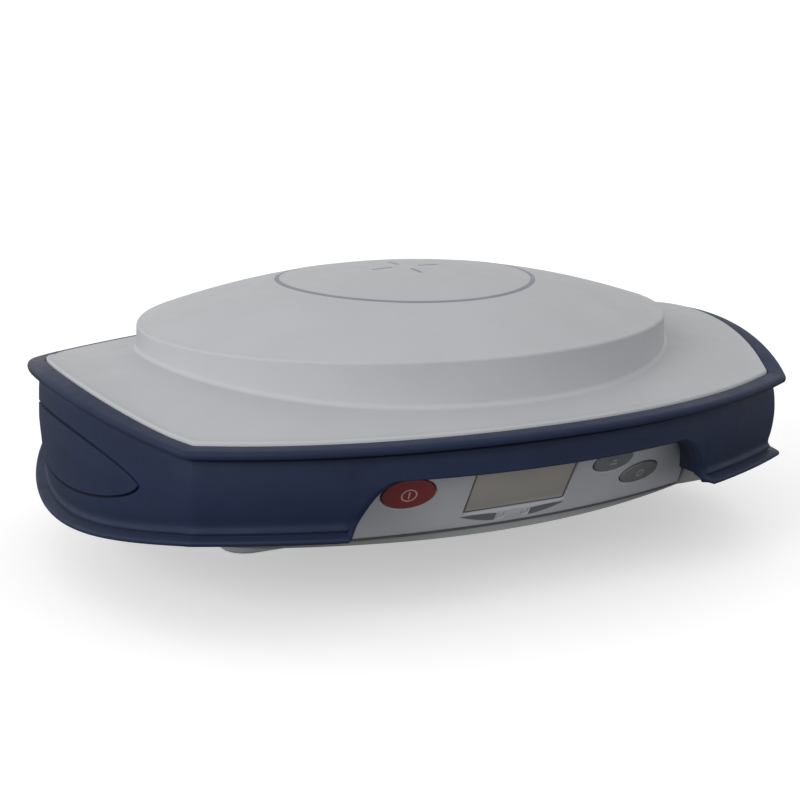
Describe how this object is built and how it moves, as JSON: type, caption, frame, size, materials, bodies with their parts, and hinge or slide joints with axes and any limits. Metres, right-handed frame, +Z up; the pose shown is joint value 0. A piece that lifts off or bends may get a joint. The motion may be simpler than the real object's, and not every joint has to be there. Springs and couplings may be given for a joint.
{
  "type": "satellite survey receiver",
  "caption": "Pole-top satellite survey receiver: white domed radome on a grey housing, blue rubber bumper, recessed control panel, battery door and radio module underneath.",
  "frame": {"origin": "middle of the base, under the pole axis, at the level of the two pods the receiver stands on", "axes": "+Z up along the pole axis, +X to the right along the long side, -Y towards the control panel"},
  "size_m": [0.228, 0.185, 0.084],
  "materials": {
    "radome": "fine textured moulding",
    "bumper": "matt moulded rubber",
    "housing": "fine textured moulding",
    "panel": "satin film over a moulding",
    "red_button": "satin",
    "grey_button": "satin",
    "window": "clear lens",
    "light_pipe": "clear light pipe",
    "dark_plastic": "moulded",
    "seal": "matt rubber",
    "circuit_board": "solder resist on glass laminate",
    "ceramic": "sintered dielectric",
    "aluminium": "rolled sheet",
    "brass": "turned",
    "steel": "zinc plated"
  },
  "bodies": {
    "receiver": {"radome": "radome", "bumper": "bumper", "side_insert_right": "bumper", "side_insert_left": "bumper", "lower_housing": "housing", "radio_module": "housing", "front_panel": "panel", "display_window": "window", "status_light_left": "light_pipe", "status_light_right": "light_pipe", "display_module": "dark_plastic", "beeper": "dark_plastic", "keypad_membrane": "dark_plastic", "housing_seal": "seal", "main_board": "circuit_board", "display_board": "circuit_board", "antenna_patch": "ceramic", "antenna_upper_patch": "ceramic", "shield_can": "aluminium", "ground_plane": "aluminium", "antenna_pillar_1": "aluminium", "antenna_pillar_2": "aluminium", "antenna_pillar_3": "aluminium", "pole_insert": "brass", "antenna_feed": "brass", "battery_contacts": "brass", "radio_aerial_socket": "brass", "modem_aerial_socket": "brass", "housing_screw_1": "steel", "housing_screw_2": "steel", "housing_screw_3": "steel", "housing_screw_4": "steel", "housing_screw_5": "steel", "housing_screw_6": "steel", "board_screw_1": "steel", "board_screw_2": "steel", "board_screw_3": "steel", "board_screw_4": "steel", "radio_screw_1": "steel", "radio_screw_2": "steel", "power_socket": "steel", "serial_socket": "steel", "usb_socket": "steel"},
    "power_button": {"power_button": "red_button"},
    "scroll_button": {"scroll_button": "grey_button"},
    "log_button": {"log_button": "grey_button"},
    "battery_door": {"battery_door": "housing", "door_seal": "seal"},
    "door_screw": {"door_screw": "steel"},
    "battery": {"battery": "dark_plastic"},
    "power_cap": {"power_cap": "seal"},
    "serial_cap": {"serial_cap": "seal"},
    "usb_cap": {"usb_cap": "seal"}
  },
  "joints": [
    {"name": "power_button_press", "type": "slide", "parent": "receiver", "child": "power_button", "axis": [0.1315, 0.8542, 0.503], "range_m": [0, 0.001], "stiffness_N_per_m": 2000, "springref_m": -0.0002},
    {"name": "scroll_button_press", "type": "slide", "parent": "receiver", "child": "scroll_button", "axis": [-0.112, 0.857, 0.503], "range_m": [0, 0.001], "stiffness_N_per_m": 2000, "springref_m": -0.0002},
    {"name": "log_button_press", "type": "slide", "parent": "receiver", "child": "log_button", "axis": [-0.164, 0.8486, 0.503], "range_m": [0, 0.001], "stiffness_N_per_m": 2000, "springref_m": -0.0002},
    {"name": "battery_door_removal", "type": "slide", "parent": "receiver", "child": "battery_door", "axis": [0, 0, -1], "range_m": [0, 0.045]},
    {"name": "door_screw_turn", "type": "hinge", "parent": "battery_door", "child": "door_screw", "pos_m": [-0.04, 0.0608, 0.0008], "axis": [0, 0, -1], "range_deg": [0, 90]},
    {"name": "battery_removal", "type": "slide", "parent": "receiver", "child": "battery", "axis": [0, 0, -1], "range_m": [0, 0.027]},
    {"name": "power_cap_swing", "type": "hinge", "parent": "receiver", "child": "power_cap", "pos_m": [-0.024, 0.0685, 0.0189], "axis": [-1, 0, 0], "range_deg": [0, 90]},
    {"name": "serial_cap_swing", "type": "hinge", "parent": "receiver", "child": "serial_cap", "pos_m": [0, 0.0685, 0.0189], "axis": [-1, 0, 0], "range_deg": [0, 90]},
    {"name": "usb_cap_swing", "type": "hinge", "parent": "receiver", "child": "usb_cap", "pos_m": [0.024, 0.0685, 0.0189], "axis": [-1, 0, 0], "range_deg": [0, 90]}
  ],
  "couplings": [
    {"joint": "battery_removal", "follows": "battery_door_removal", "ratio": 0.6}
  ]
}
